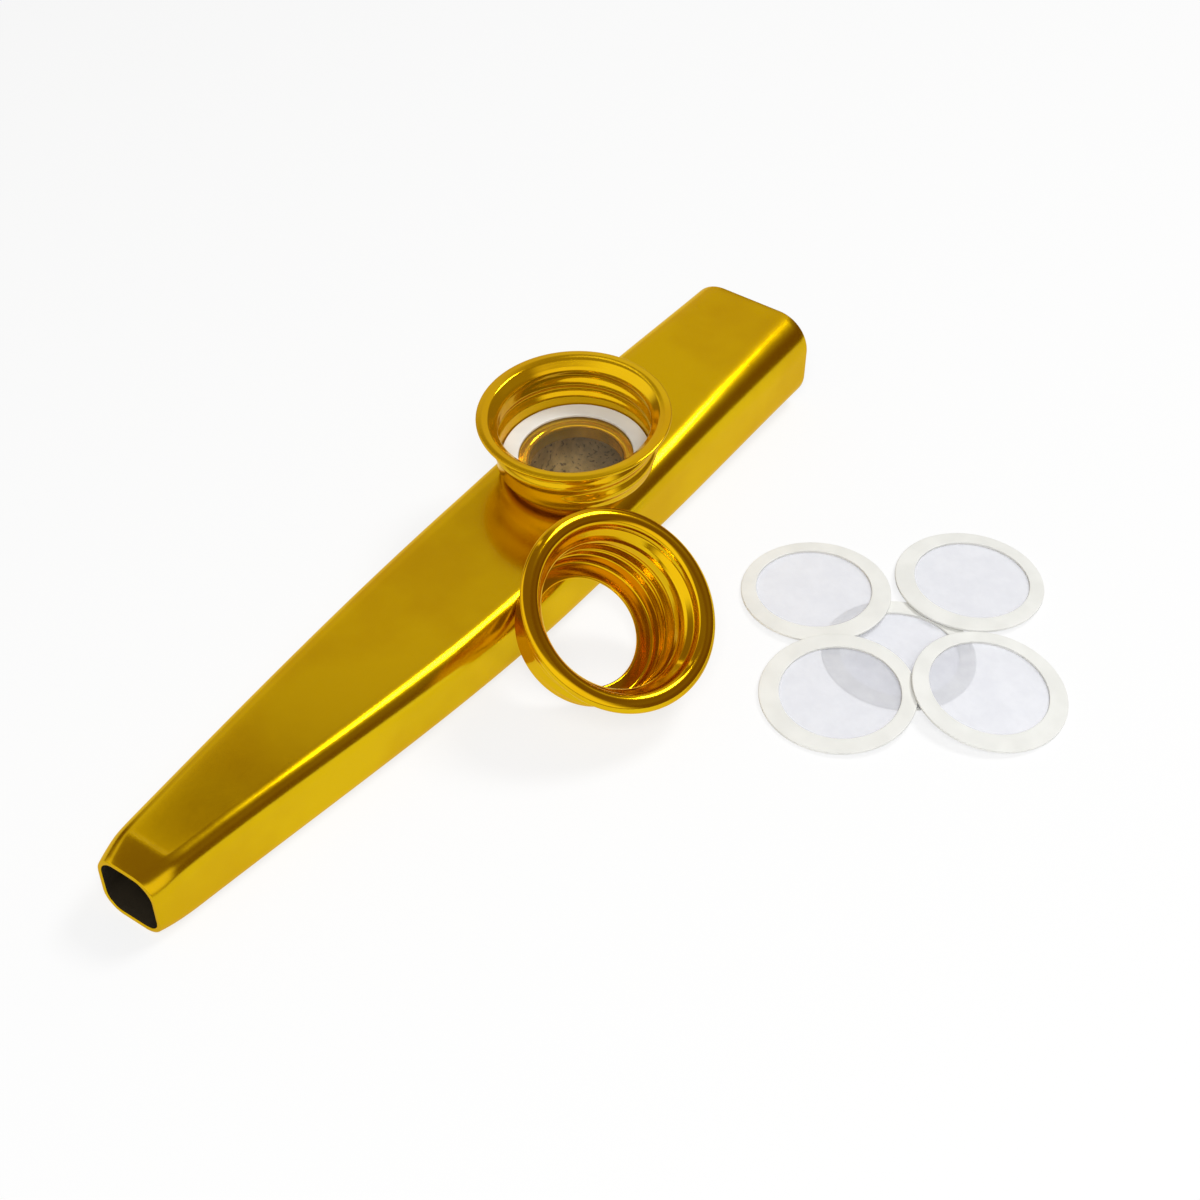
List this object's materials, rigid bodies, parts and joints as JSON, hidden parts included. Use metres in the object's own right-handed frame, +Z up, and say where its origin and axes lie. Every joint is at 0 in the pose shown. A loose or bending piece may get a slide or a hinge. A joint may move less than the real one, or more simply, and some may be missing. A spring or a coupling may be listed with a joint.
{
  "type": "kazoo",
  "caption": "Metal kazoo with a pressed tapering tube, a threaded cup holding a film membrane, its screw cap taken off and leant on the tube, and spare membranes in a pile.",
  "frame": {"origin": "on the table, straight under the middle of the flat that the cup stands on", "axes": "+Y along the tube to the end that is hummed into, +Z up, +X towards the side with the cap and the spare membranes"},
  "size_m": [0.079, 0.12, 0.0206],
  "materials": {
    "gold_aluminium": "satin gold anodising on sheet",
    "ring_paper": "smooth stiff paper",
    "clear_film": "thin clear film"
  },
  "bodies": {
    "kazoo": {"body_tube": "gold_aluminium", "turret_cup": "gold_aluminium", "spare_ring_1": "ring_paper", "spare_film_1": "clear_film"},
    "membrane": {"fitted_ring": "ring_paper", "fitted_film": "clear_film"},
    "cap": {"screw_cap": "gold_aluminium"},
    "spare_2": {"spare_ring_2": "ring_paper", "spare_film_2": "clear_film"},
    "spare_3": {"spare_ring_3": "ring_paper", "spare_film_3": "clear_film"},
    "spare_4": {"spare_ring_4": "ring_paper", "spare_film_4": "clear_film"},
    "spare_5": {"spare_ring_5": "ring_paper", "spare_film_5": "clear_film"}
  },
  "joints": [
    {"name": "membrane_lift", "type": "slide", "parent": "kazoo", "child": "membrane", "axis": [0, -0.0785, 0.9969], "range_m": [0, 0.012]},
    {"name": "cap_carry", "type": "hinge", "parent": "kazoo", "child": "cap", "pos_m": [-0.05416, -0.02312, 0.00857], "axis": [0.0707, -0.9216, 0.3816], "range_deg": [0, 40.19]},
    {"name": "slide_spare_2", "type": "slide", "parent": "kazoo", "child": "spare_2", "axis": [-0.9704, 0.2416, 0], "range_m": [0, 0.01]},
    {"name": "slide_spare_3", "type": "slide", "parent": "kazoo", "child": "spare_3", "axis": [0.0496, 0.9988, 0], "range_m": [0, 0.01]},
    {"name": "slide_spare_4", "type": "slide", "parent": "kazoo", "child": "spare_4", "axis": [-0.2116, -0.9773, 0], "range_m": [0, 0.01]},
    {"name": "slide_spare_5", "type": "slide", "parent": "kazoo", "child": "spare_5", "axis": [1, 0.0077, 0], "range_m": [0, 0.01]}
  ]
}
